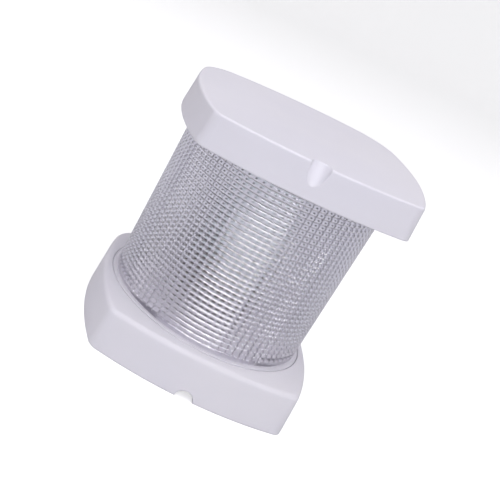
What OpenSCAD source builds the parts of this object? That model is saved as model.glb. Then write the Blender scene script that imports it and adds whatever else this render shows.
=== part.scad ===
// All-round navigation light: a moulded base and cap with a clear ribbed lens between them and
// a bayonet bulb on the lamp axis.
// Origin: centre of the mounting plane on the lamp axis. +Z up. The flat, notched front faces -Y.

/* [Housing outline] */
// Overall width of the base and the cap
body_w = 101; // [98:0.5:120]
// Lamp axis to the middle of the flat front
front_y = 53; // [50:0.5:62]
// Lamp axis to the middle of the back
back_y = 50.5; // [50:0.5:62]
// Radius of the gently bowed front face
front_r = 142; // [120:1:220]
// Radius of the bowed sides
side_r = 145; // [120:1:220]
// Radius of the bowed back
back_r = 130; // [110:1:220]
// Radius of the two front corners
front_corner = 6; // [5:0.5:10]
// Radius of the two back corners
back_corner = 23; // [12:0.5:26]
// How much each side leans in from the bottom to the top of a housing
draft = 1.2; // [0.4:0.1:2]

/* [Base] */
// Height of the base
base_h = 19.5; // [18:0.5:26]
// Wall thickness of the base
base_wall = 3; // [2.5:0.1:4]
// Rounding of the upper edge of the base
base_round = 2.2; // [1:0.1:3]
// Radius of the half-round cable and drain notch in the front of the base
notch_r = 4; // [3:0.1:5]
// Distance between the two mounting holes
mount_spacing = 62; // [56:1:62]
// Radius of the mounting holes
mount_hole_r = 2.6; // [2.2:0.1:3]
// Radius of the cable bore in the grommet
cable_r = 3; // [2.5:0.1:3.5]

/* [Cap] */
// Height of the cap
cap_h = 14; // [13:0.5:18]
// Wall thickness of the cap
cap_wall = 2.6; // [2:0.1:3.2]
// Rounding of the upper edge of the cap
cap_round = 1; // [0.5:0.1:1.5]
// Radius of the index groove in the front of the cap
groove_r = 4; // [3:0.1:5]
// Lean of the index groove, which sets how far it runs down the face
groove_lean = 32; // [18:1:35]

/* [Lens] */
// Outer radius of the lens over its ribs
lens_r = 44; // [43.5:0.1:44.2]
// Visible height of the lens between the base and the cap
lens_gap = 78; // [70:1:100]
// Depth of the horizontal ribs
rib_depth = 0.6; // [0.3:0.05:0.8]
// Height of one horizontal rib
rib_pitch = 2.2; // [1.8:0.1:3.2]
// Number of upright flutes round the inside
flute_count = 82; // [60:2:96]
// Depth of the inner flutes
flute_depth = 0.5; // [0.3:0.05:0.6]
// Turn that frees the lens and cap from the base
unlock_angle = 30; // [26:1:34]

/* [Lamp] */
// Height of the bayonet pins above the mounting plane
pin_z = 27; // [26:0.5:29]
// Distance from the pins to the middle of the filament
light_centre = 31.8; // [28:0.2:36]
// Radius of the bulb glass
glass_r = 9.5; // [8.5:0.5:13]
// Turn of the bulb in its socket
bulb_turn = 20; // [15:1:25]
// Turns in the coiled filament
filament_turns = 10; // [8:1:13]

/* [Hidden] */
$fn = 96;
eps = 0.01;
half_w = body_w / 2;
cap_z = base_h + lens_gap;
top_z = cap_z + cap_h;
front_c = [0, front_r - front_y];
back_c = [0, back_y - back_r];
right_c = [half_w - side_r, 0];
left_c = [side_r - half_w, 0];

deck_t = 3;
deck_z = base_h - deck_t;
seat_r = 46;
seat_z = base_h - 3.4;
seal_t = 1.17;
lens_z = seat_z + seal_t + 0.03;
collar_r = 39.2;
collar_t = 2.2;
collar_top = base_h + 2.8;
hook_r = 41;
hook_t = 2;
hook_z = collar_top - hook_t;
hook_span = unlock_angle - 6;
hook_count = 4;
lug_span = unlock_angle - 8;
lug_z = lens_z + 0.6;
lug_t = hook_z - 0.2 - lug_z;

lens_in_r = 41.2;
wall_out_r = lens_r - rib_depth;
lip_r = lens_r + 1.7;
lip_top = base_h + 0.2;
band_top = base_h + 0.4;
lens_top = cap_z + 3.1;
flange_t = 2.2;
flange_in_r = 35;
bead_r = (pow(rib_pitch / 2, 2) + pow(rib_depth, 2)) / (2 * rib_depth);
rib_count = floor((lens_top - band_top) / rib_pitch);
flute_half = 0.47 * 2 * PI * lens_in_r / flute_count;
flute_r = (flute_half * flute_half + flute_depth * flute_depth) / (2 * flute_depth);
flute_z = hook_z;

cap_plate_t = 2.6;
clamp_z = lens_top + 1.2;
screw_ring_r = 30;
shield_t = 1;
shield_z = lens_top - flange_t - shield_t;

grommet_at = [-20, 22, 0];
boss_x = mount_spacing / 2;
plate_screw_x = 15;
block_y = 18;
block_d = 9;
block_w = 20;
block_h = 9.5;
clamp_x = 6.3;
clamp_axis_z = base_h + 4;
wire_r = 1.1;
wire_up_y = 15;
wire_low_z = 2.6;

shell_r = 9.5;
shell_in_r = 7.8;
shell_z = 6;
shell_top = pin_z + 3.2;
pin_r = 1;
slot_gap = 0.3;
slot_half = asin((pin_r + slot_gap) / shell_in_r) + 0.6;
shell_flange_r = shell_r + 1.6;
contact_x = 3.3;
contact_z = pin_z - 8.1;
insul_z = shell_z + 0.8;
insul_top = contact_z - 1.7;
bore_r = 2.2;
term_top = insul_z + 1.2;
plunger_top = contact_z - 0.02;
shoulder_top = insul_top - 0.85;
shoulder_z = shoulder_top - 2.35;

bulb_r = 7.5;
bulb_z = contact_z + 0.7;
bulb_top = pin_z + 10.5;
glass_z = pin_z + 3;
glass_top = pin_z + 51;
glass_t = 0.8;
stem_top = pin_z + 19;
filament_mid = pin_z + light_centre;
spring_ring = 1.6;
spring_wire = 0.25;
spring_turns = 3;
coil_sin = 0.28;
coil_tilt = asin(coil_sin);
filament_ring = 0.75;
filament_wire = 0.15;
filament_r = filament_ring * cos(coil_tilt);
filament_h = 4 * coil_sin * filament_ring * filament_turns;
lead_r = 0.35;
lead_x = 2.2;

// ---- outline helpers -------------------------------------------------------------------------

// The point at distance ra from a and rb from b, on the side chosen by s
function meet(a, ra, b, rb, s) =
  let (d = norm(b - a), k = (ra * ra - rb * rb + d * d) / (2 * d))
  let (h = sqrt(ra * ra - k * k), u = (b - a) / d)
  a + k * u + s * h * [-u[1], u[0]];

// Inset and height pairs for a leaning side with a rounded upper edge
function rounded_side(h, lean, round, n) = concat(
  [[0, 0]],
  [for (i = [0:n]) [
    lean * (h - round) / h + round * (1 - cos(90 * i / n)),
    h - round + round * sin(90 * i / n)
  ]]
);

// Inset and height pairs for the hollow: the wall inside the same lean
function hollow_side(h, lean, wall, full_h) = [
  [wall, -1],
  [wall, 0],
  [wall + lean * h / full_h, h]
];

// A turned disc whose rim follows the side pairs
module turned(c, r, side) {
  last = side[len(side) - 1];
  translate([c[0], c[1], 0])
    rotate_extrude($fn = 180)
      polygon(concat([[0, side[0][1]]], [for (p = side) [r - p[0], p[1]]], [[0, last[1]]]));
}

// What lies outside the corner rounding between the discs centred on a and b
module corner_waste(a, ra, b, rb, s, r, side) {
  c = meet(a, ra - r, b, rb - r, s);
  ua = (c - a) / norm(c - a);
  ub = (c - b) / norm(c - b);
  reach = 3 * r + 6;
  tall = side[len(side) - 1][1] + 4;
  difference() {
    translate([0, 0, -2])
      linear_extrude(tall)
        polygon([c, c + reach * ua, c + reach * (ua + ub), c + reach * ub]);
    turned(c, r, side);
  }
}

// The body outline as a solid with the given side
module outline(side) {
  difference() {
    intersection() {
      turned(front_c, front_r, side);
      turned(right_c, side_r, side);
      turned(left_c, side_r, side);
      turned(back_c, back_r, side);
    }
    corner_waste(front_c, front_r, right_c, side_r, 1, front_corner, side);
    corner_waste(front_c, front_r, left_c, side_r, -1, front_corner, side);
    corner_waste(back_c, back_r, right_c, side_r, -1, back_corner, side);
    corner_waste(back_c, back_r, left_c, side_r, 1, back_corner, side);
  }
}

// ---- general helpers -------------------------------------------------------------------------

module ring(r1, r2, z, h) {
  translate([0, 0, z])
    difference() {
      cylinder(h = h, r = r2);
      translate([0, 0, -1]) cylinder(h = h + 2, r = r1);
    }
}

// Part of a ring from angle a to angle a + span
module arc_ring(r1, r2, z, h, a, span) {
  rotate([0, 0, a])
    rotate_extrude(angle = span)
      translate([r1, z]) square([r2 - r1, h]);
}

// A round rod from p to q
module rod(p, q, r) {
  v = q - p;
  translate(p)
    rotate([0, acos(v[2] / norm(v)), atan2(v[1], v[0])])
      cylinder(h = norm(v), r = r, $fn = 32);
}

// A bent round wire through the points
module bent_wire(pts, r) {
  for (i = [0:len(pts) - 2]) rod(pts[i], pts[i + 1], r);
  for (i = [1:len(pts) - 2]) translate(pts[i]) sphere(r = r * 1.05, $fn = 32);
}

// A coil of half turns: each is a half ring of radius ring_r, tilted one way then the other, so
// that they meet face to face
module coil(ring_r, wire, turns) {
  for (k = [0:2 * turns - 1])
    translate([0, 0, coil_sin * ring_r * (2 * k + 1)])
      rotate([0, (k % 2 == 0) ? coil_tilt : -coil_tilt, 0])
        rotate([0, 0, 180 * (k % 2)])
          rotate_extrude(angle = 180, $fn = 48)
            translate([ring_r, 0]) circle(r = wire, $fn = 16);
}

// A pan-head screw pointing down, with a cross recess; z = 0 is under the head
module pan_screw(r, len, head_r, head_t) {
  difference() {
    union() {
      translate([0, 0, -len]) cylinder(h = len, r = r);
      cylinder(h = head_t * 0.6, r = head_r);
      translate([0, 0, head_t * 0.6]) cylinder(h = head_t * 0.4, r1 = head_r, r2 = head_r * 0.7);
    }
    for (a = [0, 90])
      rotate([0, 0, a])
        translate([-head_r * 0.5, -head_r * 0.11, head_t * 0.4])
          cube([head_r, head_r * 0.22, head_t]);
  }
}

module two(x) {
  translate([x, 0, 0]) children();
  translate([-x, 0, 0]) children();
}

// ---- base ------------------------------------------------------------------------------------

module base_hooks() {
  for (i = [0:hook_count - 1]) {
    a = 45 + i * 360 / hook_count;
    arc_ring(collar_r - eps, hook_r, hook_z, hook_t, a - hook_span / 2, hook_span);
    arc_ring(collar_r - eps, hook_r, lug_z, collar_top - lug_z, a - hook_span / 2 - 1.6, 2);
  }
}

module base_shell() {
  difference() {
    outline(rounded_side(base_h, draft, base_round, 4));
    outline(hollow_side(deck_z, draft, base_wall, base_h));
  }
  // floor of the lens seat
  ring(collar_r - collar_t, seat_r + 2, seat_z - 2.8, deck_z - seat_z + 2.8 + eps);
  // screw bosses and pilot bosses under the deck
  two(boss_x) cylinder(h = deck_z + eps, r = 5.5);
  two(plate_screw_x) translate([0, 0, deck_z - 6]) cylinder(h = 6 + eps, r = 3.4);
  translate([0, block_y + block_d / 2, deck_z - 6]) cylinder(h = 6 + eps, r = 3.4);
}

module base_housing() {
  color([0.84, 0.83, 0.87])
  difference() {
    union() {
      difference() {
        base_shell();
        ring(collar_r, seat_r, seat_z, base_h);
      }
      ring(collar_r - collar_t, collar_r, seat_z - 2.8, collar_top - seat_z + 2.8);
      base_hooks();
    }
    two(boss_x) translate([0, 0, -1]) cylinder(h = base_h + 2, r = mount_hole_r);
    two(plate_screw_x) translate([0, 0, base_h - 8.6]) cylinder(h = 9, r = 1.5);
    translate([0, block_y + block_d / 2, base_h - 8.6]) cylinder(h = 9, r = 1.5);
    translate([0, 0, deck_z - 1]) cylinder(h = deck_t + 2, r = shell_r + 0.3);
    two(clamp_x) translate([0, wire_up_y, deck_z - 1]) cylinder(h = deck_t + 2, r = wire_r + 0.4);
    translate(grommet_at) translate([0, 0, deck_z - 1]) cylinder(h = deck_t + 2, r = 4.6);
    translate([0, -front_y + base_wall + 4, -0.2])
      rotate([90, 0, 0]) cylinder(h = base_wall + 8, r = notch_r);
  }
}

module lens_seal() {
  color([0.86, 0.86, 0.85]) ring(41.6, 45, seat_z, seal_t);
}

module screw_washers() {
  color([0.2, 0.2, 0.21])
    two(boss_x) ring(mount_hole_r, 5.3, base_h, 1);
}

module deck_grommet() {
  color([0.12, 0.12, 0.13])
  translate(grommet_at)
    difference() {
      union() {
        translate([0, 0, deck_z - 1.3]) cylinder(h = 1.3, r = 6.2);
        translate([0, 0, deck_z]) cylinder(h = deck_t, r = 4.6);
        translate([0, 0, base_h]) cylinder(h = 1.3, r = 6.2);
      }
      translate([0, 0, deck_z - 3]) cylinder(h = deck_t + 6, r = cable_r);
    }
}

// ---- lamp socket -----------------------------------------------------------------------------

module socket_plate() {
  color([0.7, 0.7, 0.72])
  translate([0, 0, base_h])
    difference() {
      union() {
        cylinder(h = 1, r = shell_flange_r + 0.6);
        two(plate_screw_x) cylinder(h = 1, r = 4);
        translate([-plate_screw_x, -4, 0]) cube([2 * plate_screw_x, 8, 1]);
      }
      translate([0, 0, -1]) cylinder(h = 3, r = shell_r + 0.05);
      two(plate_screw_x) translate([0, 0, -1]) cylinder(h = 3, r = 1.6);
    }
}

module deck_screws() {
  color([0.75, 0.75, 0.77]) {
    two(plate_screw_x) translate([0, 0, base_h + 1]) pan_screw(1.45, 8.5, 2.7, 1.9);
    translate([0, block_y + block_d / 2, base_h + 2]) pan_screw(1.45, 9.5, 2.7, 1.9);
  }
}

// The entry and locking slot of one bayonet pin at angle a
module pin_slot(a) {
  low = pin_z - pin_r - slot_gap;
  width = 2 * (pin_r + slot_gap);
  arc_ring(7, shell_r + 1, low, width, a - slot_half, bulb_turn + 2 * slot_half);
  rotate([0, 0, a + bulb_turn])
    translate([6.5, -width / 2, low + 0.5]) cube([4, width, 10]);
}

module socket_shell() {
  color([0.13, 0.13, 0.14])
  difference() {
    rotate([0, 0, 90])
      rotate_extrude()
        polygon([
          [6.9, shell_z],
          [shell_r, shell_z],
          [shell_r, base_h + 1],
          [shell_flange_r, base_h + 1],
          [shell_flange_r, base_h + 1.8],
          [shell_r, base_h + 1.8],
          [shell_r, shell_top],
          [shell_in_r, shell_top],
          [shell_in_r, shell_z + 0.8],
          [6.9, shell_z + 0.8]
        ]);
    for (a = [0, 180]) pin_slot(a);
  }
}

module socket_insulator() {
  color([0.16, 0.13, 0.12])
  difference() {
    translate([0, 0, insul_z]) cylinder(h = insul_top - insul_z, r = shell_in_r - 0.05);
    two(contact_x) translate([0, 0, insul_z - 1]) cylinder(h = insul_top - insul_z + 0.2, r = bore_r);
    two(contact_x) translate([0, 0, insul_z]) cylinder(h = 30, r = 1.7);
  }
}

module socket_terminals() {
  color([0.8, 0.65, 0.3])
  two(contact_x) {
    translate([0, 0, insul_z]) cylinder(h = term_top - insul_z, r = bore_r - 0.05);
    translate([0, 0, 4.6]) cylinder(h = insul_z - 4.6 + eps, r = 0.9);
  }
}

module contact_plungers() {
  color([0.85, 0.7, 0.35])
  two(contact_x) {
    translate([0, 0, shoulder_top - eps]) cylinder(h = plunger_top - shoulder_top + eps, r = 1.6);
    translate([0, 0, shoulder_z]) cylinder(h = shoulder_top - shoulder_z, r = bore_r - 0.1);
    translate([0, 0, shoulder_z - 3]) cylinder(h = 3 + eps, r = 1);
  }
}

module plunger_springs() {
  color([0.7, 0.7, 0.72])
  two(contact_x)
    translate([0, 0, term_top + spring_wire + 0.06]) coil(spring_ring, spring_wire, spring_turns);
}

// ---- wiring ----------------------------------------------------------------------------------

module terminal_block() {
  color([0.88, 0.87, 0.84])
  difference() {
    translate([-block_w / 2, block_y, base_h]) cube([block_w, block_d, block_h]);
    two(clamp_x) {
      translate([0, block_y - 1, clamp_axis_z]) rotate([-90, 0, 0]) cylinder(h = block_d + 2, r = 1.5);
      translate([0, block_y + 0.8, clamp_axis_z]) rotate([-90, 0, 0]) cylinder(h = block_d - 1.6, r = 2.65);
      translate([0, block_y + block_d / 2, clamp_axis_z]) cylinder(h = 20, r = 2.2);
    }
    translate([0, block_y + block_d / 2, base_h - 1]) cylinder(h = 20, r = 1.6);
    translate([0, block_y + block_d / 2, base_h + 2]) cylinder(h = 20, r = 2.9);
  }
}

module terminal_clamps() {
  color([0.8, 0.65, 0.3])
  two(clamp_x)
    difference() {
      translate([0, block_y + 0.9, clamp_axis_z]) rotate([-90, 0, 0]) cylinder(h = block_d - 1.8, r = 2.6);
      translate([0, block_y, clamp_axis_z]) rotate([-90, 0, 0]) cylinder(h = block_d, r = 1.2);
      translate([0, block_y + block_d / 2, clamp_axis_z]) cylinder(h = 9, r = 1.25);
    }
}

module terminal_screws() {
  color([0.75, 0.75, 0.77])
  two(clamp_x)
    translate([0, block_y + block_d / 2, 0])
      difference() {
        union() {
          translate([0, 0, clamp_axis_z + wire_r + 0.05]) cylinder(h = 3, r = 1.2);
          translate([0, 0, clamp_axis_z + wire_r + 2.2]) cylinder(h = 1.4, r = 2);
        }
        translate([-3, -0.3, clamp_axis_z + wire_r + 2.9]) cube([6, 0.6, 3]);
      }
}

// One lead from the socket to its clamp; s is the side
module lead_wire(s) {
  bent_wire([
    [s * contact_x, 0, 4.6],
    [s * contact_x, 0, wire_low_z],
    [s * clamp_x, wire_up_y, wire_low_z],
    [s * clamp_x, wire_up_y, clamp_axis_z],
    [s * clamp_x, block_y + block_d - 2, clamp_axis_z]
  ], wire_r);
}

module wire_positive() {
  color([0.7, 0.1, 0.08]) lead_wire(1);
}

module wire_negative() {
  color([0.08, 0.08, 0.09]) lead_wire(-1);
}

// ---- lens and cap ----------------------------------------------------------------------------

module lens_section() {
  difference() {
    union() {
      translate([30, lens_z]) square([wall_out_r - 30, lens_top - lens_z]);
      translate([30, lens_z]) square([lip_r - 30, lip_top - lens_z]);
      translate([30, lens_z]) square([lens_r - 30, band_top - lens_z]);
      for (i = [0:rib_count - 1])
        translate([lens_r - bead_r, band_top + (i + 0.5) * rib_pitch]) circle(r = bead_r);
    }
    translate([0, 0]) square([lens_in_r, lens_top - flange_t]);
    translate([0, 0]) square([flange_in_r, lens_top + 5]);
  }
}

module lens() {
  color([0.8, 0.8, 0.82, 0.4]) {
    difference() {
      rotate_extrude($fn = 180) lens_section();
      for (i = [0:flute_count - 1])
        rotate([0, 0, (i + 0.5) * 360 / flute_count])
          translate([lens_in_r + flute_depth - flute_r, 0, flute_z])
            cylinder(h = shield_z - 0.4 - flute_z, r = flute_r, $fn = 32);
    }
    for (i = [0:hook_count - 1])
      arc_ring(lens_in_r - 1.7, lens_in_r + 0.5, lug_z, lug_t, 45 + i * 360 / hook_count - lug_span / 2,
        lug_span);
  }
}

module cap_shell() {
  translate([0, 0, cap_z])
    difference() {
      outline(rounded_side(cap_h, draft, cap_round, 3));
      outline(hollow_side(cap_h - cap_plate_t, draft, cap_wall, cap_h));
    }
  // clamping ring over the lens and the ring that centres it
  ring(flange_in_r + 0.5, 45.6, clamp_z, top_z - cap_plate_t - clamp_z + eps);
  ring(44.2, 45.6, cap_z + 0.6, clamp_z - cap_z - 0.6 + eps);
  // thickened wall behind the index groove
  translate([-7, -front_y + cap_wall - 1, cap_z + 1.5]) cube([14, 6, cap_h - cap_plate_t - 1.4]);
  boss_z = shield_z + shield_t;
  for (i = [0:2])
    rotate([0, 0, 90 + 120 * i])
      translate([screw_ring_r, 0, boss_z]) cylinder(h = top_z - 1 - boss_z, r = 4.6);
}

module cap_housing() {
  color([0.86, 0.85, 0.89])
  difference() {
    cap_shell();
    for (i = [0:2])
      rotate([0, 0, 90 + 120 * i])
        translate([screw_ring_r, 0, shield_z]) cylinder(h = 9.8, r = 2.05);
    ring(lens_r - 6, 44.2, cap_z - 3, clamp_z - cap_z + 3);
    translate([0, -front_y + draft, top_z])
      rotate([-groove_lean, 0, 0])
        translate([0, 0, -20]) cylinder(h = 30, r = groove_r);
  }
}

module cap_seal() {
  color([0.2, 0.2, 0.21]) ring(38, 43, lens_top, clamp_z - lens_top);
}

module heat_shield() {
  color([0.88, 0.87, 0.87])
  difference() {
    translate([0, 0, shield_z]) cylinder(h = shield_t, r = lens_in_r - 0.8);
    for (i = [0:2])
      rotate([0, 0, 90 + 120 * i])
        translate([screw_ring_r, 0, shield_z - 1]) cylinder(h = 4, r = 2.2);
  }
}

module cap_screws() {
  color([0.75, 0.75, 0.77])
  for (i = [0:2])
    rotate([0, 0, 90 + 120 * i])
      translate([screw_ring_r, 0, shield_z])
        rotate([180, 0, 0]) pan_screw(2, 9, 3.6, 2.5);
}

// ---- bulb ------------------------------------------------------------------------------------

module glass_section(inset) {
  neck = 6.9 - inset;
  wide = glass_r - inset;
  translate([0, glass_z]) square([neck, 14]);
  translate([0, pin_z + 17]) square([wide, glass_top - glass_r - pin_z - 17]);
  polygon([[0, pin_z + 10.6], [neck, pin_z + 10.6], [wide, pin_z + 17 + eps], [0, pin_z + 17 + eps]]);
  intersection() {
    translate([0, glass_top - glass_r]) circle(r = wide);
    translate([0, glass_top - glass_r - eps]) square([glass_r, glass_r + 1]);
  }
}

module bulb_glass() {
  color([0.9, 0.93, 0.95, 0.3])
  rotate_extrude()
    difference() {
      glass_section(0);
      glass_section(glass_t);
    }
}

module bulb_cap() {
  color([0.74, 0.73, 0.7])
  difference() {
    union() {
      ring(bulb_r - 0.4, bulb_r, bulb_z, bulb_top - bulb_z);
      ring(6, bulb_r - 0.4 + eps, bulb_z, 0.4);
    }
    translate([-10, 0, pin_z]) rotate([0, 90, 0]) cylinder(h = 20, r = pin_r, $fn = 48);
  }
}

module bulb_pins() {
  color([0.74, 0.73, 0.7])
  for (s = [-1, 1])
    translate([s * 7.85, 0, pin_z]) rotate([0, 90, 0])
      translate([0, 0, -0.85]) cylinder(h = 1.7, r = pin_r, $fn = 48);
}

module bulb_insulator() {
  color([0.08, 0.08, 0.09])
  difference() {
    union() {
      translate([0, 0, bulb_z - 0.4]) cylinder(h = 0.9, r = 5.9);
      translate([0, 0, bulb_z + 0.4]) cylinder(h = 3, r = bulb_r - 0.45);
    }
    two(contact_x) translate([0, 0, bulb_z - 2]) cylinder(h = 8, r = 0.8);
  }
}

module bulb_contacts() {
  color([0.72, 0.72, 0.72])
  two(contact_x) {
    translate([0, 0, contact_z]) cylinder(h = 0.3, r = 1.5);
    translate([0, 0, contact_z]) cylinder(h = 4.1, r = 0.78);
  }
}

module bulb_stem() {
  color([0.85, 0.9, 0.9, 0.5])
  difference() {
    union() {
      translate([0, 0, glass_z + 0.1]) cylinder(h = 1, r = 6.9 - glass_t - 0.05);
      translate([0, 0, glass_z + 0.1]) cylinder(h = stem_top - glass_z, r = 3.1);
    }
    two(lead_x) translate([0, 0, glass_z - 1]) cylinder(h = stem_top - glass_z + 3, r = lead_r + 0.01);
  }
}

module filament_leads() {
  low = filament_mid - filament_h / 2 - filament_wire - lead_r - 0.01;
  high = filament_mid + filament_h / 2 + filament_wire + lead_r + 0.01;
  base = contact_z + 4.1;
  color([0.7, 0.7, 0.7]) {
    bent_wire([
      [contact_x, 0, base],
      [lead_x, 0, glass_z - 0.6],
      [lead_x, 0, low],
      [filament_r - 0.2, 0, low]
    ], lead_r);
    bent_wire([
      [-contact_x, 0, base],
      [-lead_x, 0, glass_z - 0.6],
      [-lead_x, 0, high],
      [filament_r + 0.2, 0, high]
    ], lead_r);
  }
}

module filament() {
  color([0.45, 0.45, 0.47])
  translate([0, 0, filament_mid - filament_h / 2])
    coil(filament_ring, filament_wire, filament_turns);
}

base_housing();
lens_seal();
screw_washers();
deck_grommet();
socket_plate();
deck_screws();
socket_shell();
socket_insulator();
socket_terminals();
contact_plungers();
plunger_springs();
terminal_block();
terminal_clamps();
terminal_screws();
wire_positive();
wire_negative();
lens();
cap_housing();
cap_seal();
heat_shield();
cap_screws();
bulb_glass();
bulb_cap();
bulb_pins();
bulb_insulator();
bulb_contacts();
bulb_stem();
filament_leads();
filament();
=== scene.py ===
import math

import bpy
import numpy as np
from mathutils import Matrix, Vector


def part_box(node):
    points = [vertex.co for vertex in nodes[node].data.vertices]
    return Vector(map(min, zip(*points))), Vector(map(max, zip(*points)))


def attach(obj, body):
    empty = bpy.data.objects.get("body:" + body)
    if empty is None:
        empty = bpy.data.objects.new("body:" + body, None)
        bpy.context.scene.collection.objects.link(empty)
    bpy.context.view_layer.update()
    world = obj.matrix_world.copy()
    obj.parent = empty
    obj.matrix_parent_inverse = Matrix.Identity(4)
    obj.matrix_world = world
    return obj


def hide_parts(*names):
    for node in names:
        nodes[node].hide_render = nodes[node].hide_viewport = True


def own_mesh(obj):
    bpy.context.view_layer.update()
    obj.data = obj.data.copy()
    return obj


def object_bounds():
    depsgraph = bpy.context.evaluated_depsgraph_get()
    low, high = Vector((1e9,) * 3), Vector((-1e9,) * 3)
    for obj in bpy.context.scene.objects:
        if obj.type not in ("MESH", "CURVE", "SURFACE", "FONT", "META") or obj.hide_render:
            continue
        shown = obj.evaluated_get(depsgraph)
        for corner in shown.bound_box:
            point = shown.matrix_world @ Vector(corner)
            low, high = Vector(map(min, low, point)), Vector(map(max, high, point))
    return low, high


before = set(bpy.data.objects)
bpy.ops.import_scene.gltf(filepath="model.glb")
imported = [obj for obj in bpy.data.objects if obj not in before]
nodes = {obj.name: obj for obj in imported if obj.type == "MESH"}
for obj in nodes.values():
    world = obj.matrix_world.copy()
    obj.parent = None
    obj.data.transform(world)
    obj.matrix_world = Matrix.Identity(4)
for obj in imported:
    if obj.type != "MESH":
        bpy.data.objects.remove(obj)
cad_low, cad_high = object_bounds()
MM = 0.001


# ---- node helpers ----------------------------------------------------------------------------

class Net:
    """A material's node tree, with short calls for the nodes used here."""

    def __init__(self, name, world=False):
        self.mat = (bpy.data.worlds if world else bpy.data.materials).new(name)
        self.mat.use_nodes = True
        self.tree = self.mat.node_tree
        self.tree.nodes.clear()
        self.out = self.add("ShaderNodeOutputWorld" if world else "ShaderNodeOutputMaterial")
        self.coord = self.add("ShaderNodeTexCoord").outputs["Object"]

    def add(self, kind, **props):
        n = self.tree.nodes.new(kind)
        for k, v in props.items():
            setattr(n, k, v)
        return n

    def put(self, socket, value):
        if isinstance(value, bpy.types.NodeSocket):
            self.tree.links.new(value, socket)
        elif value is not None:
            socket.default_value = value
        return socket

    def vector(self, scale, source=None):
        n = self.add("ShaderNodeVectorMath", operation="MULTIPLY")
        self.put(n.inputs[0], source or self.coord)
        n.inputs[1].default_value = scale
        return n.outputs[0]

    def noise(self, scale, detail=4, rough=0.55, stretch=None, distortion=0.0):
        n = self.add("ShaderNodeTexNoise")
        self.put(n.inputs["Vector"], self.vector(stretch) if stretch else self.coord)
        n.inputs["Scale"].default_value = scale
        n.inputs["Detail"].default_value = detail
        n.inputs["Roughness"].default_value = rough
        n.inputs["Distortion"].default_value = distortion
        return n.outputs["Fac"]

    def voronoi(self, scale, feature="F1"):
        n = self.add("ShaderNodeTexVoronoi", feature=feature)
        self.put(n.inputs["Vector"], self.coord)
        n.inputs["Scale"].default_value = scale
        return n.outputs["Distance"]

    def span(self, value, low, high, to_low=0.0, to_high=1.0):
        n = self.add("ShaderNodeMapRange")
        n.clamp = True
        self.put(n.inputs["Value"], value)
        for k, v in zip(("From Min", "From Max", "To Min", "To Max"), (low, high, to_low, to_high)):
            n.inputs[k].default_value = v
        return n.outputs["Result"]

    def math(self, op, a, b=None):
        n = self.add("ShaderNodeMath", operation=op)
        self.put(n.inputs[0], a)
        self.put(n.inputs[1], b)
        return n.outputs[0]

    def mix(self, fac, a, b):
        n = self.add("ShaderNodeMix", data_type="RGBA")
        self.put(n.inputs["Factor"], fac)
        self.put(n.inputs["A"], a if isinstance(a, bpy.types.NodeSocket) else (*a, 1))
        self.put(n.inputs["B"], b if isinstance(b, bpy.types.NodeSocket) else (*b, 1))
        return n.outputs["Result"]

    def blend(self, fac, a, b):
        n = self.add("ShaderNodeMixShader")
        self.put(n.inputs[0], fac)
        self.put(n.inputs[1], a)
        self.put(n.inputs[2], b)
        return n.outputs[0]

    def bump(self, height, strength, distance, normal=None):
        n = self.add("ShaderNodeBump")
        n.inputs["Strength"].default_value = strength
        n.inputs["Distance"].default_value = distance
        self.put(n.inputs["Height"], height)
        self.put(n.inputs["Normal"], normal)
        return n.outputs["Normal"]

    def soft_edges(self, radius):
        n = self.add("ShaderNodeBevel", samples=6)
        n.inputs["Radius"].default_value = radius
        return n.outputs["Normal"]

    def axis(self, i):
        n = self.add("ShaderNodeSeparateXYZ")
        self.put(n.inputs[0], self.coord)
        return n.outputs[i]

    def surface(self, **inputs):
        n = self.add("ShaderNodeBsdfPrincipled")
        for k, v in inputs.items():
            self.put(n.inputs[k.replace("_", " ")], v)
        self.tree.links.new(n.outputs[0], self.out.inputs["Surface"])
        return n


def smooth_object(name, verts, faces, material):
    """A smooth-shaded mesh object in the scene."""
    mesh = bpy.data.meshes.new(name)
    mesh.from_pydata(verts, [], faces)
    mesh.polygons.foreach_set("use_smooth", [True] * len(mesh.polygons))
    mesh.materials.append(material)
    obj = bpy.data.objects.new(name, mesh)
    bpy.context.scene.collection.objects.link(obj)
    return obj


def dress(material, *names):
    """Gives CAD nodes one material."""
    for name in names:
        mesh = nodes[name].data
        mesh.materials.clear()
        mesh.materials.append(material)


# ---- moulded plastics ------------------------------------------------------------------------

def moulded_white():
    """Slightly lilac white plastic with faint clouding, specks and moulding grain."""
    m = Net("moulded_white")
    cloud = m.noise(38, 3)
    blotch = m.noise(11, 2)
    tint = m.mix(m.span(blotch, 0.35, 0.65), (0.735, 0.725, 0.790), (0.765, 0.752, 0.800))
    tint = m.mix(m.span(cloud, 0.55, 0.85, 0, 0.35), tint, (0.715, 0.715, 0.775))
    specks = m.span(m.voronoi(900), 0.0, 0.09, 0.35, 0.0)
    tint = m.mix(specks, tint, (0.62, 0.60, 0.62))
    grain = m.noise(2600, 2, 0.6)
    ripple = m.noise(120, 2, 0.5)
    normal = m.bump(grain, 0.10, 0.00006, m.soft_edges(0.0007))
    normal = m.bump(ripple, 0.06, 0.0004, normal)
    m.surface(Base_Color=tint, Roughness=m.span(cloud, 0.3, 0.7, 0.40, 0.50), Normal=normal,
              Subsurface_Weight=0.12, Subsurface_Radius=(0.004, 0.0038, 0.0042), Subsurface_Scale=0.35,
              Specular_IOR_Level=0.42, Coat_Weight=0.04, Coat_Roughness=0.25)
    return m.mat


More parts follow.
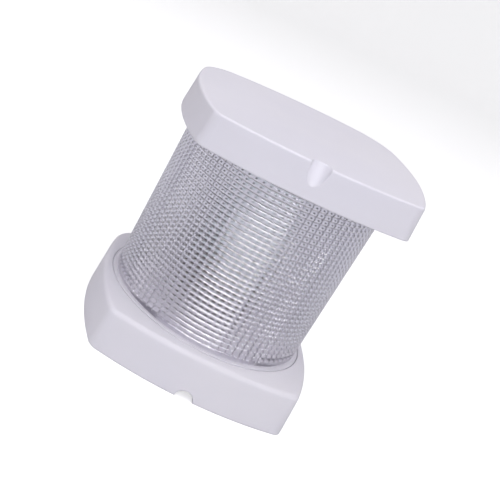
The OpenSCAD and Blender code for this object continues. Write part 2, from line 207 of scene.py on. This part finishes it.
def plain_plastic(name, colour, other, rough, specks=0.0):
    m = Net(name)
    mottle = m.noise(240, 4)
    tint = m.mix(m.span(mottle, 0.35, 0.7), colour, other)
    if specks:
        tint = m.mix(m.span(m.voronoi(1500), 0.0, 0.12, specks, 0.0), tint, (0.25, 0.2, 0.15))
    normal = m.bump(m.noise(1900, 3), 0.15, 0.00008, m.soft_edges(0.0003))
    roughness = m.span(mottle, 0.3, 0.7, rough - 0.06, rough + 0.08)
    m.surface(Base_Color=tint, Roughness=roughness, Normal=normal)
    return m.mat


def rubber():
    m = Net("black_rubber")
    dust = m.span(m.noise(420, 5), 0.5, 0.8)
    tint = m.mix(dust, (0.035, 0.035, 0.038), (0.10, 0.10, 0.105))
    normal = m.bump(m.noise(2400, 3), 0.25, 0.0001, m.soft_edges(0.0003))
    m.surface(Base_Color=tint, Roughness=m.span(dust, 0, 1, 0.55, 0.75), Normal=normal)
    return m.mat


# ---- metals ----------------------------------------------------------------------------------

def metal(name, colour, tarnish, rough, stretch=(1, 1, 30), brushed=0.2, patches=90):
    m = Net(name)
    lines = m.noise(700, 3, 0.6, stretch)
    patch = m.span(m.noise(patches, 4), 0.48, 0.75)
    tint = m.mix(patch, colour, tarnish)
    roughness = m.math("ADD", m.span(lines, 0.3, 0.7, rough - 0.05, rough + 0.07),
                       m.span(patch, 0, 1, 0, 0.12))
    normal = m.bump(lines, brushed, 0.00003, m.soft_edges(0.00015))
    m.surface(Base_Color=tint, Metallic=1.0, Roughness=roughness, Normal=normal)
    return m.mat


# ---- glass and the clear lens ----------------------------------------------------------------

def bulb_glass():
    m = Net("blown_glass")
    streak = m.noise(60, 3, 0.5, (1, 1, 0.3))
    glass = m.add("ShaderNodeBsdfGlass")
    glass.inputs["IOR"].default_value = 1.47
    m.put(glass.inputs["Color"], m.mix(streak, (0.95, 0.97, 0.97), (0.99, 1.0, 1.0)))
    m.put(glass.inputs["Roughness"], 0.01)
    m.put(glass.inputs["Normal"], m.bump(streak, 0.2, 0.0002))
    see = m.add("ShaderNodeBsdfTransparent")
    see.inputs["Color"].default_value = (0.95, 0.96, 0.96, 1)
    path = m.add("ShaderNodeLightPath")
    m.put(m.out.inputs["Surface"], m.blend(path.outputs["Is Shadow Ray"], glass.outputs[0], see.outputs[0]))
    return m.mat


LENS_IOR, RIM_FROST = 1.49, 0.0004


def clear_lens():
    """Clear moulded plastic, frosted on its rim. Its far wall is plain to a ray that the near wall
    has already bent, and shadows and bounced light pass straight through."""
    m = Net("clear_lens_plastic")
    cloud = m.noise(55, 3)
    path = m.add("ShaderNodeLightPath")
    bends = path.outputs["Transmission Depth"]
    tint = m.mix(cloud, (0.95, 0.945, 0.96), (0.98, 0.975, 0.985))
    rough = m.math("MULTIPLY", m.span(cloud, 0.3, 0.7, 0.02, 0.05), m.math("LESS_THAN", bends, 0.5))
    normal = m.bump(m.noise(900, 2), 0.08, 0.00005)
    bent = m.add("ShaderNodeBsdfRefraction")
    gloss = m.add("ShaderNodeBsdfAnisotropic")
    for shader, blur in ((bent, 2), (gloss, 1)):
        m.put(shader.inputs["Color"], tint)
        m.put(shader.inputs["Roughness"], m.math("MULTIPLY", rough, blur))
        m.put(shader.inputs["Normal"], normal)
    bent.inputs["IOR"].default_value = LENS_IOR
    fresnel = m.add("ShaderNodeFresnel")
    fresnel.inputs["IOR"].default_value = LENS_IOR
    m.put(fresnel.inputs["Normal"], normal)
    glass = m.blend(fresnel.outputs[0], bent.outputs[0], gloss.outputs[0])
    haze = m.add("ShaderNodeBsdfTranslucent")
    haze.inputs["Color"].default_value = (0.80, 0.79, 0.84, 1)
    skin = m.add("ShaderNodeBsdfDiffuse")
    skin.inputs["Color"].default_value = (0.84, 0.83, 0.89, 1)
    rim_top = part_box("screw_washers")[0].z + RIM_FROST
    above = m.span(m.axis(2), rim_top, rim_top + 0.0001)
    frost = m.blend(m.span(above, 0, 1, 0.85, 0.5), haze.outputs[0], skin.outputs[0])
    body = m.blend(m.span(above, 0, 1, 0.7, 0.05), glass, frost)
    see = m.add("ShaderNodeBsdfTransparent")
    see.inputs["Color"].default_value = (0.96, 0.955, 0.97, 1)
    plain = m.math("MAXIMUM", path.outputs["Is Shadow Ray"], path.outputs["Is Diffuse Ray"])
    plain = m.math("MAXIMUM", plain, m.math("GREATER_THAN", bends, 1.5))
    m.put(m.out.inputs["Surface"], m.blend(plain, body, see.outputs[0]))
    return m.mat


# ---- the lens, finer than the frame's mesh so that its ribs and flutes refract cleanly ---------

LENS_R, RIB_DEPTH, RIB_PITCH = 44.0, 0.6, 2.2
LENS_IN_R, FLUTE_DEPTH, FLUTES = 41.2, 0.5, 82
FLUTE_HALF, FLUTE_EDGE = 0.47, 0.004
FLUTE_RISE, FLUTE_DROP = 0.8, 0.4
FLANGE_IN_R, FLANGE_T = 35.0, 2.2
LIP_ROUND, LIP_RISE, BAND_RISE = 0.25, 0.2, 0.4
LUG_SPAN, LUG_IN, LUG_LOW, LUG_HIGH = 22.0, 1.7, 0.6, 2.8
LUG_COUNT, LUG_FIRST, LUG_ROOT, LUG_STEPS = 4, 45, 0.2, 12
RIB_STEPS, FLUTE_STEPS, SHARP_ANGLE = 9, 9, 32


def lens_profile(foot, lip_r, lip_top, band_top, top):
    """Radius and height pairs up the outside, rib by rib, in mm."""
    wall = LENS_R - RIB_DEPTH
    pairs = [(LENS_IN_R, foot), (lip_r, foot)]
    for i in range(5):
        a = math.radians(90 * i / 4)
        pairs.append((lip_r - LIP_ROUND * (1 - math.cos(a)), lip_top - LIP_ROUND * (1 - math.sin(a))))
    pairs += [(LENS_R, lip_top), (LENS_R, band_top)]
    bead = ((RIB_PITCH / 2) ** 2 + RIB_DEPTH ** 2) / (2 * RIB_DEPTH)
    half = math.asin(RIB_PITCH / 2 / bead)
    ribs = int((top - band_top) / RIB_PITCH)
    for i in range(ribs):
        mid = band_top + (i + 0.5) * RIB_PITCH
        for k in range(RIB_STEPS + 1):
            a = -half + 2 * half * k / RIB_STEPS
            if k or i == 0:
                pairs.append((LENS_R - bead + bead * math.cos(a), mid + bead * math.sin(a)))
    pairs += [(wall, top), (FLANGE_IN_R, top), (FLANGE_IN_R, top - FLANGE_T), (LENS_IN_R, top - FLANGE_T)]
    return pairs


def flute_radius(columns):
    """Radius of the fluted inside at each column."""
    half = FLUTE_HALF * 2 * math.pi * LENS_IN_R / FLUTES
    r = (half ** 2 + FLUTE_DEPTH ** 2) / (2 * FLUTE_DEPTH)
    c = LENS_IN_R + FLUTE_DEPTH - r
    off = ((np.arange(columns) / FLUTE_STEPS) % 1 - 0.5) * 2 * math.pi / FLUTES
    cut = c * np.cos(off) + np.sqrt(np.maximum(r ** 2 - (c * np.sin(off)) ** 2, 0))
    return np.maximum(cut, LENS_IN_R)


def lug(at, low, high):
    """Vertices and faces of one inner lug centred on the angle at."""
    verts, faces = [], []
    tip, root = LENS_IN_R - LUG_IN, LENS_IN_R + LUG_ROOT
    for k in range(LUG_STEPS + 1):
        a = math.radians(at + LUG_SPAN * (k / LUG_STEPS - 0.5))
        for r, z in ((tip, low), (root, low), (root, high), (tip, high)):
            verts.append((r * math.cos(a), r * math.sin(a), z))
    for k in range(LUG_STEPS):
        for j in range(4):
            a, b = 4 * k + j, 4 * k + (j + 1) % 4
            faces.append((a, b, b + 4, a + 4))
    faces += [(3, 2, 1, 0), tuple(4 * LUG_STEPS + j for j in range(4))]
    return verts, faces


def fine_lens(material):
    """The lens as a closed ring of rows: up the ribbed outside, over the flange, down the flutes."""
    low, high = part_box("lens")
    foot, top, lip_r = low.z / MM, high.z / MM, high.x / MM
    base_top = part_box("screw_washers")[0].z / MM
    profile = lens_profile(foot, lip_r, base_top + LIP_RISE, base_top + BAND_RISE, top)
    columns = FLUTES * FLUTE_STEPS
    turn = np.arange(columns) * 2 * math.pi / columns
    rows = [np.full(columns, r) for r, z in profile]
    heights = [z for r, z in profile]
    plain, flutes = np.full(columns, LENS_IN_R), flute_radius(columns) + FLUTE_EDGE
    flute_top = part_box("heat_shield")[0].z / MM - FLUTE_DROP
    flute_low = base_top + FLUTE_RISE
    for radius, z in ((plain, flute_top), (flutes, flute_top - FLUTE_EDGE),
                      (flutes, flute_low + FLUTE_EDGE), (plain, flute_low)):
        rows.append(radius)
        heights.append(z)
    grid = np.stack([np.stack([r * np.cos(turn), r * np.sin(turn), np.full(columns, z)], 1)
                     for r, z in zip(rows, heights)])
    count = len(rows)
    index = np.arange(count * columns).reshape(count, columns)
    below, above = index, np.roll(index, -1, 0)
    quads = np.stack([below, np.roll(below, -1, 1), np.roll(above, -1, 1), above], -1).reshape(-1, 4)
    verts = grid.reshape(-1, 3).tolist()
    faces = quads.tolist()
    for i in range(LUG_COUNT):
        more, cells = lug(LUG_FIRST + 360 / LUG_COUNT * i, foot + LUG_LOW, foot + LUG_HIGH)
        faces += [tuple(len(verts) + v for v in cell) for cell in cells]
        verts += more
    obj = smooth_object("lens_clear", [(x * MM, y * MM, z * MM) for x, y, z in verts], faces, material)
    obj.data.set_sharp_from_angle(angle=math.radians(SHARP_ANGLE))
    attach(obj, "cap_unit")
    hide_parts("lens")
    return obj


# ---- the springs under the contact plungers, which shorten as the plungers go down -----------

SPRING_WIRE, SPRING_TURNS, SPRING_END = 0.25, 4.0, 0.75
SPRING_STEPS, WIRE_STEPS = 28, 10


def coil_points(centre_x, ring, wire, bottom, top):
    """Rings of points along a round-wire coil whose end turns lie flat."""
    count = int(SPRING_TURNS * SPRING_STEPS) + 1
    for k in range(count):
        turns = k / SPRING_STEPS
        rise = (turns - SPRING_END) / (SPRING_TURNS - 2 * SPRING_END)
        z = bottom + (top - bottom) * min(max(rise, 0), 1)
        a = 2 * math.pi * turns
        for j in range(WIRE_STEPS):
            b = 2 * math.pi * j / WIRE_STEPS
            r = ring + wire * math.cos(b)
            yield centre_x + r * math.cos(a), r * math.sin(a), z + wire * math.sin(b)


def plunger_coils(material):
    """The two coils as one piece, squashed to what the joint's full travel leaves of their height."""
    low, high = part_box("plunger_springs")
    wire = SPRING_WIRE * MM
    ring = (high.y - low.y) / 2 - wire
    verts, faces = [], []
    for side in (-1, 1):
        first = len(verts)
        verts += coil_points(side * (high.x - ring - wire), ring, wire, low.z + wire, high.z - wire)
        rings = (len(verts) - first) // WIRE_STEPS
        for k in range(rings - 1):
            for j in range(WIRE_STEPS):
                a, b = first + k * WIRE_STEPS + j, first + k * WIRE_STEPS + (j + 1) % WIRE_STEPS
                faces.append((a, a + WIRE_STEPS, b + WIRE_STEPS, b))
        faces.append(tuple(first + j for j in range(WIRE_STEPS)))
        faces.append(tuple(len(verts) - 1 - j for j in range(WIRE_STEPS)))
    obj = smooth_object("coil_springs", verts, faces, material)
    obj.data.validate()
    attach(obj, "base")
    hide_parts("plunger_springs")
    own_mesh(obj)


dress(moulded_white(), "base_housing", "cap_housing")
lens = fine_lens(clear_lens())
dress(rubber(), "cap_seal", "screw_washers", "deck_grommet")
dress(plain_plastic("white_silicone", (0.74, 0.74, 0.74), (0.80, 0.80, 0.79), 0.42), "lens_seal")
dress(metal("stainless", (0.62, 0.62, 0.63), (0.48, 0.47, 0.46), 0.28), "socket_plate", "deck_screws",
      "cap_screws", "terminal_screws")
plunger_coils(metal("spring_steel", (0.55, 0.55, 0.56), (0.4, 0.38, 0.36), 0.3))
dress(metal("plated_brass", (0.56, 0.55, 0.53), (0.42, 0.39, 0.34), 0.26), "bulb_cap", "bulb_pins")
dress(metal("bare_brass", (0.78, 0.60, 0.28), (0.5, 0.35, 0.16), 0.27), "contact_plungers",
      "socket_terminals", "terminal_clamps")
dress(metal("solder", (0.6, 0.6, 0.62), (0.42, 0.42, 0.43), 0.42), "bulb_contacts")
dress(plain_plastic("white_enamel", (0.82, 0.80, 0.79), (0.78, 0.76, 0.75), 0.32, 0.05), "heat_shield")
dress(metal("nickel_wire", (0.55, 0.54, 0.52), (0.38, 0.36, 0.33), 0.3), "filament_leads")
dress(metal("tungsten", (0.23, 0.23, 0.25), (0.15, 0.15, 0.18), 0.4), "filament")
dress(plain_plastic("phenolic", (0.045, 0.032, 0.028), (0.07, 0.05, 0.04), 0.4, 0.25), "socket_shell",
      "socket_insulator", "bulb_insulator")
dress(plain_plastic("block_plastic", (0.72, 0.71, 0.66), (0.66, 0.65, 0.6), 0.45, 0.06), "terminal_block")
dress(plain_plastic("red_insulation", (0.45, 0.02, 0.015), (0.52, 0.035, 0.03), 0.38), "wire_positive")
dress(plain_plastic("black_insulation", (0.015, 0.015, 0.017), (0.03, 0.03, 0.032), 0.38), "wire_negative")
dress(bulb_glass(), "bulb_glass", "bulb_stem")


# ---- floor, light and camera -----------------------------------------------------------------

def off_axis(m, direction):
    """Mask of the painted backdrop seen through the lens: 0 for the painted shade straight behind the lamp
    in the view, 1 for the painted light to the sides of it.
    """
    parts = []
    for axis, reach in ((SIDEWAYS, DARK_WIDE), (UPWARDS, DARK_TALL)):
        dot = m.add("ShaderNodeVectorMath", operation="DOT_PRODUCT")
        m.put(dot.inputs[0], direction)
        dot.inputs[1].default_value = axis
        parts.append(m.span(m.math("ABSOLUTE", dot.outputs["Value"]), *reach))
    return m.math("MAXIMUM", *parts)


def pale_floor():
    """Lit and faintly glowing to the camera. To what is seen through the lens it glows as a backdrop of
    painted shade straight behind the lamp and painted light to the sides.
    Right under the light it lets bounced light and shadows through, so the underside is lit."""
    m = Net("pale_floor")
    tone = m.mix(m.noise(6, 3), (0.70, 0.70, 0.71), (0.72, 0.72, 0.73))
    face = m.add("ShaderNodeBsdfDiffuse")
    glow = m.add("ShaderNodeEmission")
    path = m.add("ShaderNodeLightPath")
    side = m.add("ShaderNodeNewGeometry")
    # Seen through the lens the floor's lit colour is turned off and it glows instead: painted shade
    # straight behind the lamp, painted light to the sides.
    through = path.outputs["Is Transmission Ray"]
    aside = off_axis(m, side.outputs["Incoming"])
    seen = m.mix(aside, BEHIND_PAINTED_SHADE, ASIDE_PAINTED_LIGHT)
    direct = m.math("MULTIPLY", path.outputs["Is Camera Ray"], FLOOR_GLOW)
    m.put(face.inputs["Color"], m.mix(through, tone, (0, 0, 0)))
    m.put(glow.inputs["Color"], m.mix(through, (1, 1, 1), seen))
    m.put(glow.inputs["Strength"], m.math("ADD", direct, through))
    lit = m.add("ShaderNodeAddShader")
    m.put(lit.inputs[0], face.outputs[0])
    m.put(lit.inputs[1], glow.outputs[0])
    see = m.add("ShaderNodeBsdfTransparent")
    reach = m.add("ShaderNodeVectorMath", operation="LENGTH")
    m.put(reach.inputs[0], m.vector((1, 1, 0)))
    inside = m.math("LESS_THAN", reach.outputs["Value"], UNDER_LIGHT)
    touching = m.math("LESS_THAN", path.outputs["Ray Length"], UNDER_RIM)
    bounced = m.math("ADD", path.outputs["Is Diffuse Ray"], path.outputs["Is Shadow Ray"])
    under = m.math("MULTIPLY", m.math("MAXIMUM", inside, touching), bounced)
    hidden = m.math("MAXIMUM", side.outputs["Backfacing"], under)
    m.put(m.out.inputs["Surface"], m.blend(hidden, lit.outputs[0], see.outputs[0]))
    return m.mat


def floor():
    """A round floor that curves up into a wall."""
    rows = [(FLOOR_FLAT * i / 4, 0.0) for i in range(5)]
    for a in np.radians(np.linspace(90 / FLOOR_RINGS, 90, FLOOR_RINGS)):
        rows.append((FLOOR_FLAT + FLOOR_BEND * math.sin(a), FLOOR_BEND * (1 - math.cos(a))))
    rows.append((FLOOR_FLAT + FLOOR_BEND, FLOOR_BEND + FLOOR_WALL))
    level = cad_low.z - FLOOR_GAP
    turn = np.arange(FLOOR_PARTS) * 2 * math.pi / FLOOR_PARTS
    verts = [(0, 0, level)]
    for r, z in rows[1:]:
        verts += [(r * math.cos(t), r * math.sin(t), level + z) for t in turn]
    after = [(k + 1) % FLOOR_PARTS for k in range(FLOOR_PARTS)]
    faces = [(0, 1 + k, 1 + after[k]) for k in range(FLOOR_PARTS)]
    for j in range(len(rows) - 2):
        a, b = 1 + j * FLOOR_PARTS, 1 + (j + 1) * FLOOR_PARTS
        faces += [(a + k, b + k, b + after[k], a + after[k]) for k in range(FLOOR_PARTS)]
    smooth_object("floor", verts, faces, pale_floor())


def around(azimuth, elevation, distance, target):
    """A place round the target, and the direction back to it. Azimuth 0 is in front, 90 on the right."""
    a, e = math.radians(azimuth), math.radians(elevation)
    back = Vector((math.sin(a) * math.cos(e), -math.cos(a) * math.cos(e), math.sin(e)))
    return target + back * distance, back


def softbox(name, azimuth, elevation, distance, width, height, power, colour=(1, 1, 1)):
    """An area light that faces the object's centre."""
    light = bpy.data.lights.new(name, "AREA")
    light.shape = "RECTANGLE"
    light.size, light.size_y = width, height
    light.energy = power
    light.color = colour
    obj = bpy.data.objects.new(name, light)
    bpy.context.scene.collection.objects.link(obj)
    obj.location, back = around(azimuth, elevation, distance, centre)
    obj.rotation_euler = back.to_track_quat("Z", "Y").to_euler()
    return obj


def studio_world():
    """White where the camera sees it, soft fill for the surfaces, and for what is seen through the lens a
    backdrop of painted shade straight behind the lamp and painted light to the sides."""
    m = Net("studio", world=True)
    bpy.context.scene.world = m.mat
    path = m.add("ShaderNodeLightPath")
    aside = off_axis(m, m.add("ShaderNodeTexCoord").outputs["Generated"])
    # Rays seen through the lens get painted shade straight behind the lamp and painted light to the sides
    # instead of the fill.
    seen = m.mix(aside, BEHIND_PAINTED_SHADE, ASIDE_PAINTED_LIGHT)
    colour = m.mix(path.outputs["Is Transmission Ray"], WORLD_FILL, seen)
    back = m.add("ShaderNodeBackground")
    m.put(back.inputs["Color"], m.mix(path.outputs["Is Camera Ray"], colour, (1, 1, 1)))
    m.put(m.out.inputs["Surface"], back.outputs[0])


def window_sheen(name, azimuth, elevation, width, height, power):
    """A bright window pane that only the lens reflects."""
    pane = softbox(name, azimuth, elevation, LIGHT_DISTANCE, width, height, power)
    pane.visible_diffuse = False
    pane.visible_transmission = False
    if "lens_only" not in bpy.data.collections:
        bpy.data.collections.new("lens_only").objects.link(lens)
    pane.light_linking.receiver_collection = bpy.data.collections["lens_only"]


centre = (cad_low + cad_high) / 2
LIGHT_DISTANCE = 1.3
FLOOR_RINGS, FLOOR_PARTS, FLOOR_GAP = 24, 96, 0.00002
FLOOR_FLAT, FLOOR_BEND, FLOOR_WALL = 1.6, 0.8, 2.5
FLOOR_GLOW, UNDER_LIGHT, UNDER_RIM = 0.55, 0.045, 0.001
# Across and up the main view. The painted shade behind the lamp, seen through the lens, is measured along
# these two.
SIDEWAYS, UPWARDS = (0.975, -0.2226, 0.0), (0.0695, 0.3045, 0.950)
DARK_WIDE, DARK_TALL = (0.05, 0.12), (0.09, 0.18)
# Painted shade straight behind the lamp and painted light to its sides, shown only through the lens by the
# floor and the world.
BEHIND_PAINTED_SHADE, ASIDE_PAINTED_LIGHT = (0.03, 0.032, 0.036), (0.67, 0.675, 0.74)
WORLD_FILL = (0.437, 0.437, 0.45)
floor()
studio_world()
softbox("window", 1.2, 39, LIGHT_DISTANCE, 0.95, 1.3, 8.2, (0.965, 0.965, 1.0))
softbox("top", 20, 80, LIGHT_DISTANCE, 1.2, 1.2, 9.2, (1.0, 0.965, 0.985))
softbox("left", -100, 25, LIGHT_DISTANCE, 0.7, 1.0, 3.0, (1.0, 0.955, 0.975))
window_sheen("pane_right", 14.5, 34, 0.40, 1.3, 13)
window_sheen("pane_left", -5.5, 34, 0.40, 1.3, 8)
window_sheen("pane_side", -100, 30, 0.72, 1.0, 4)
window_sheen("pane_above", 40, 66, 2.4, 0.8, 115)

# The camera looks past the object's left side, and the picture is the right part of its view.
VIEW_AZ, VIEW_EL, VIEW_ROLL = 2.692, 21.602, 24.421
VIEW_DISTANCE, VIEW_LENS = 0.38096, 62.57
VIEW_SIDE, VIEW_RISE = 0.100186, 0.018659
SEAT_RISE, AIM_RISE, AWAY = 0.0195, 0.040, 0.02
SHIFT_X, SHIFT_Y = 0.45742, -0.15106


def shift_at_stand(data, cam, stand):
    """Shifts the picture while the camera is on its stand, and not once it is moved away."""
    for path, value in (("shift_x", SHIFT_X), ("shift_y", SHIFT_Y)):
        curve = data.driver_add(path)
        curve.driver.type = "SUM"
        gap = curve.driver.variables.new()
        gap.name = "gap"
        gap.type = "LOC_DIFF"
        gap.targets[0].id = cam
        gap.targets[1].id = stand
        while curve.modifiers:
            curve.modifiers.remove(curve.modifiers[0])
        while curve.keyframe_points:
            curve.keyframe_points.remove(curve.keyframe_points[0])
        for at, to in ((0.0, value), (AWAY, 0.0)):
            curve.keyframe_points.insert(at, to).interpolation = "LINEAR"
        curve.extrapolation = "CONSTANT"


def view_camera():
    """The camera of the main view. The stand marks its place for the picture's shift."""
    aim = Vector((0, 0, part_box("base_housing")[0].z + SEAT_RISE + AIM_RISE))
    place, back = around(VIEW_AZ, VIEW_EL, VIEW_DISTANCE, aim)
    right = (-back).cross(Vector((0, 0, 1))).normalized()
    up = right.cross(-back)
    place = place - right * VIEW_SIDE - up * VIEW_RISE
    roll = math.radians(VIEW_ROLL)
    x = right * math.cos(roll) + up * math.sin(roll)
    y = up * math.cos(roll) - right * math.sin(roll)
    turn = Matrix((x, y, back)).transposed()
    data = bpy.data.cameras.new("view")
    data.sensor_width = 36
    data.lens = VIEW_LENS
    data.clip_start, data.clip_end = 0.01, 20
    cam = bpy.data.objects.new("view", data)
    cam.location = place
    cam.rotation_mode = "QUATERNION"
    cam.rotation_quaternion = turn.to_quaternion()
    bpy.context.scene.collection.objects.link(cam)
    bpy.context.scene.camera = cam
    stand = bpy.data.objects.new("camera_stand", None)
    stand.location = place
    bpy.context.scene.collection.objects.link(stand)
    shift_at_stand(data, cam, stand)


view_camera()
bpy.context.scene.view_settings.view_transform = "Standard"
